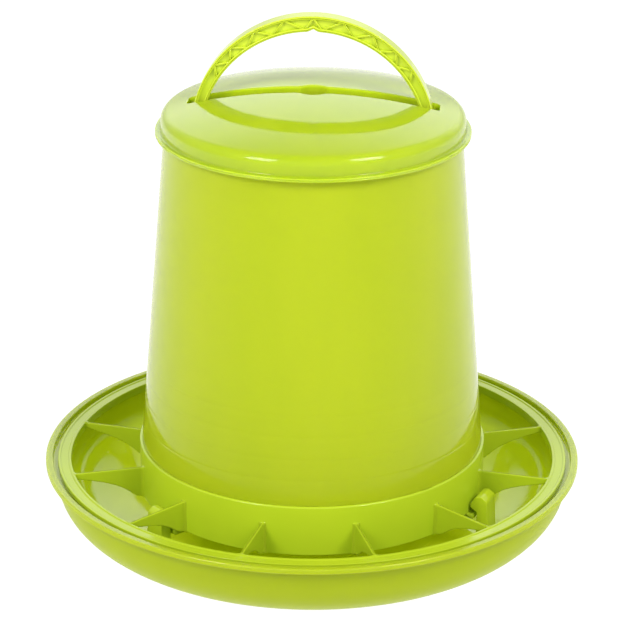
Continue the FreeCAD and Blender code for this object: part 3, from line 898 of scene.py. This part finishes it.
def make_hook(name, angle):
    """An upright snap hook: round foot, nose towards the hub, sloped top that rides over the tab."""
    half = hook_half_thickness
    inner, outer = hook_radius - half, hook_radius + half
    axis_z = hook_pad_z + half
    foot = [(hook_radius + half * math.cos(a), axis_z + half * math.sin(a))
            for a in np.linspace(0, -math.pi, 13)]
    corners = foot + [(inner, rim_z - 17.5 * MM, 0.8 * MM), (hook_nose_radius, rim_z - 15.3 * MM, 0.5 * MM),
                      (hook_nose_radius, rim_z - 13.2 * MM, 0.8 * MM), (100.7 * MM, rim_z - 8.7 * MM, 2.2 * MM),
                      (104.3 * MM, rim_z - 8.3 * MM, 2.5 * MM), (outer - 1.4 * MM, rim_z - 10.6 * MM, 2.8 * MM)]
    outline = rounded(corners, steps=5, hold=0.4 * MM)
    return turned(plate(name, outline, hook_width, 1.0 * MM, 4), angle)


# ---- assemble -----------------------------------------------------------------------------------

pan = joined("pan_bowl", [make_pan(), *hook_pads()])
finish_piece(pan, "base", "pan_plastic", pan_finish, "pan")
finish_piece(make_grille(), "base", "grille_plastic", grille_finish, "grille_ring", "grille_fins")
hub = joined("grille_collar", [make_hub(), *hub_flange(), *hook_tabs()])
finish_piece(hub, "base", "grille_plastic", hub_finish, "grille_hub")
pockets = handle_pocket() + [mirrored(piece) for piece in handle_pocket()]
drum = joined("hopper_shell", [make_hopper(), *bayonet_feet(), *pockets])
finish_piece(drum, "hopper", "hopper_plastic", hopper_finish, "hopper")
finish_piece(make_handle(), "hopper", "handle_plastic", handle_finish, "handle")
finish_piece(make_lid(), "lid", "lid_plastic", lid_finish, "lid")
for side, angle in zip(("right", "left", "back"), hook_angles()):
    hook = make_hook("snap_hook_" + side, angle)
    finish_piece(hook, "latch_" + side, "pan_plastic", hook_finish, "latch_clip_" + side)


# ---- floor, light and camera --------------------------------------------------------------------

def make_floor():
    """A matt floor that gives off light, so that it is as white as the walls."""
    bpy.ops.mesh.primitive_plane_add(size=16, location=(0, 0, -0.2 * MM))
    floor = bpy.context.object
    floor.name = "floor"
    nodes = Nodes("floor_white")
    nodes.shader.inputs["Base Color"].default_value = (0.12, 0.12, 0.12, 1)
    nodes.shader.inputs["Roughness"].default_value = 0.9
    nodes.shader.inputs["Specular IOR Level"].default_value = 0.1
    nodes.shader.inputs["Emission Color"].default_value = (1, 1, 1, 1)
    nodes.shader.inputs["Emission Strength"].default_value = 1.0
    floor.data.materials.append(nodes.material)


def softbox(name, azimuth, elevation, distance, size, power):
    """An area light that faces the feeder. Azimuth 0 is the front, and grows to the right seen from there."""
    data = bpy.data.lights.new(name, "AREA")
    data.shape = "RECTANGLE"
    data.size, data.size_y = size
    data.energy = power
    light = bpy.data.objects.new(name, data)
    turn, rise = math.radians(azimuth), math.radians(elevation)
    back = Vector((math.sin(turn) * math.cos(rise), -math.cos(turn) * math.cos(rise), math.sin(rise)))
    middle = Vector((0, 0, 0.15))
    light.location = middle + back * distance
    light.rotation_euler = back.to_track_quat("Z", "Y").to_euler()
    bpy.context.scene.collection.objects.link(light)


def make_world():
    """A white studio, evenly lit up to halfway overhead, dimmer at the ceiling and to the sides and brighter
    high at the back."""
    world = bpy.data.worlds.new("studio")
    world.use_nodes = True
    tree = world.node_tree
    split = tree.nodes.new("ShaderNodeSeparateXYZ")
    tree.links.new(tree.nodes.new("ShaderNodeTexCoord").outputs["Generated"], split.inputs["Vector"])

    def fade(value, start, end, first, last):
        node = tree.nodes.new("ShaderNodeMapRange")
        node.interpolation_type = "SMOOTHSTEP"
        for key, number in (("From Min", start), ("From Max", end), ("To Min", first), ("To Max", last)):
            node.inputs[key].default_value = number
        tree.links.new(value, node.inputs["Value"])
        return node.outputs["Result"]

    def combine(operation, first, second):
        node = tree.nodes.new("ShaderNodeMath")
        node.operation = operation
        tree.links.new(first, node.inputs[0])
        tree.links.new(second, node.inputs[1])
        return node.outputs[0]

    across, along, height = split.outputs
    sideways = combine("MULTIPLY", across, across)
    behind = combine("MULTIPLY", fade(along, 0.55, 0.9, 0.0, BACK_LIGHT), fade(height, 0.1, 0.35, 0.0, 1.0))
    room = combine("ADD", fade(height, 0.55, 0.85, ROOM_LIGHT, CEILING_LIGHT), behind)
    room = combine("MULTIPLY", room, fade(sideways, 0.15, 0.75, 1.0, SIDE_SHARE))
    background = tree.nodes["Background"]
    background.inputs["Color"].default_value = (1, 1, 1, 1)
    tree.links.new(room, background.inputs["Strength"])
    bpy.context.scene.world = world


def make_camera():
    """A long lens, slightly right of the handle's square-on view and looking down on the feeder."""
    distance = 1.531
    pitch = math.radians(21.967)
    yaw = math.radians(4.45)
    roll = math.radians(0.3)
    aim = Vector((2.5 * MM, 0, rim_z + 80.17 * MM))
    forward = Vector((0, math.cos(pitch), -math.sin(pitch)))
    right = Vector((1, 0, 0))
    up = right.cross(forward)
    tilted_right = right * math.cos(roll) + up * math.sin(roll)
    tilted_up = up * math.cos(roll) - right * math.sin(roll)
    pose = Matrix((tilted_right, tilted_up, -forward)).transposed().to_4x4()
    pose.translation = aim - forward * distance
    data = bpy.data.cameras.new("camera")
    data.sensor_width = 36
    data.lens = 156.56
    data.clip_start, data.clip_end = 0.1, 50
    camera = bpy.data.objects.new("camera", data)
    camera.matrix_world = Matrix.Rotation(yaw, 4, "Z") @ pose
    bpy.context.scene.collection.objects.link(camera)
    bpy.context.scene.camera = camera


make_floor()
make_world()
for side, azimuth, elevation in (("left", -38, 38), ("right", 51, 42)):
    softbox("softbox_" + side, azimuth, elevation, distance=1.6, size=(0.5, 0.6), power=12)
make_camera()
bpy.context.scene.view_settings.view_transform = "Standard"
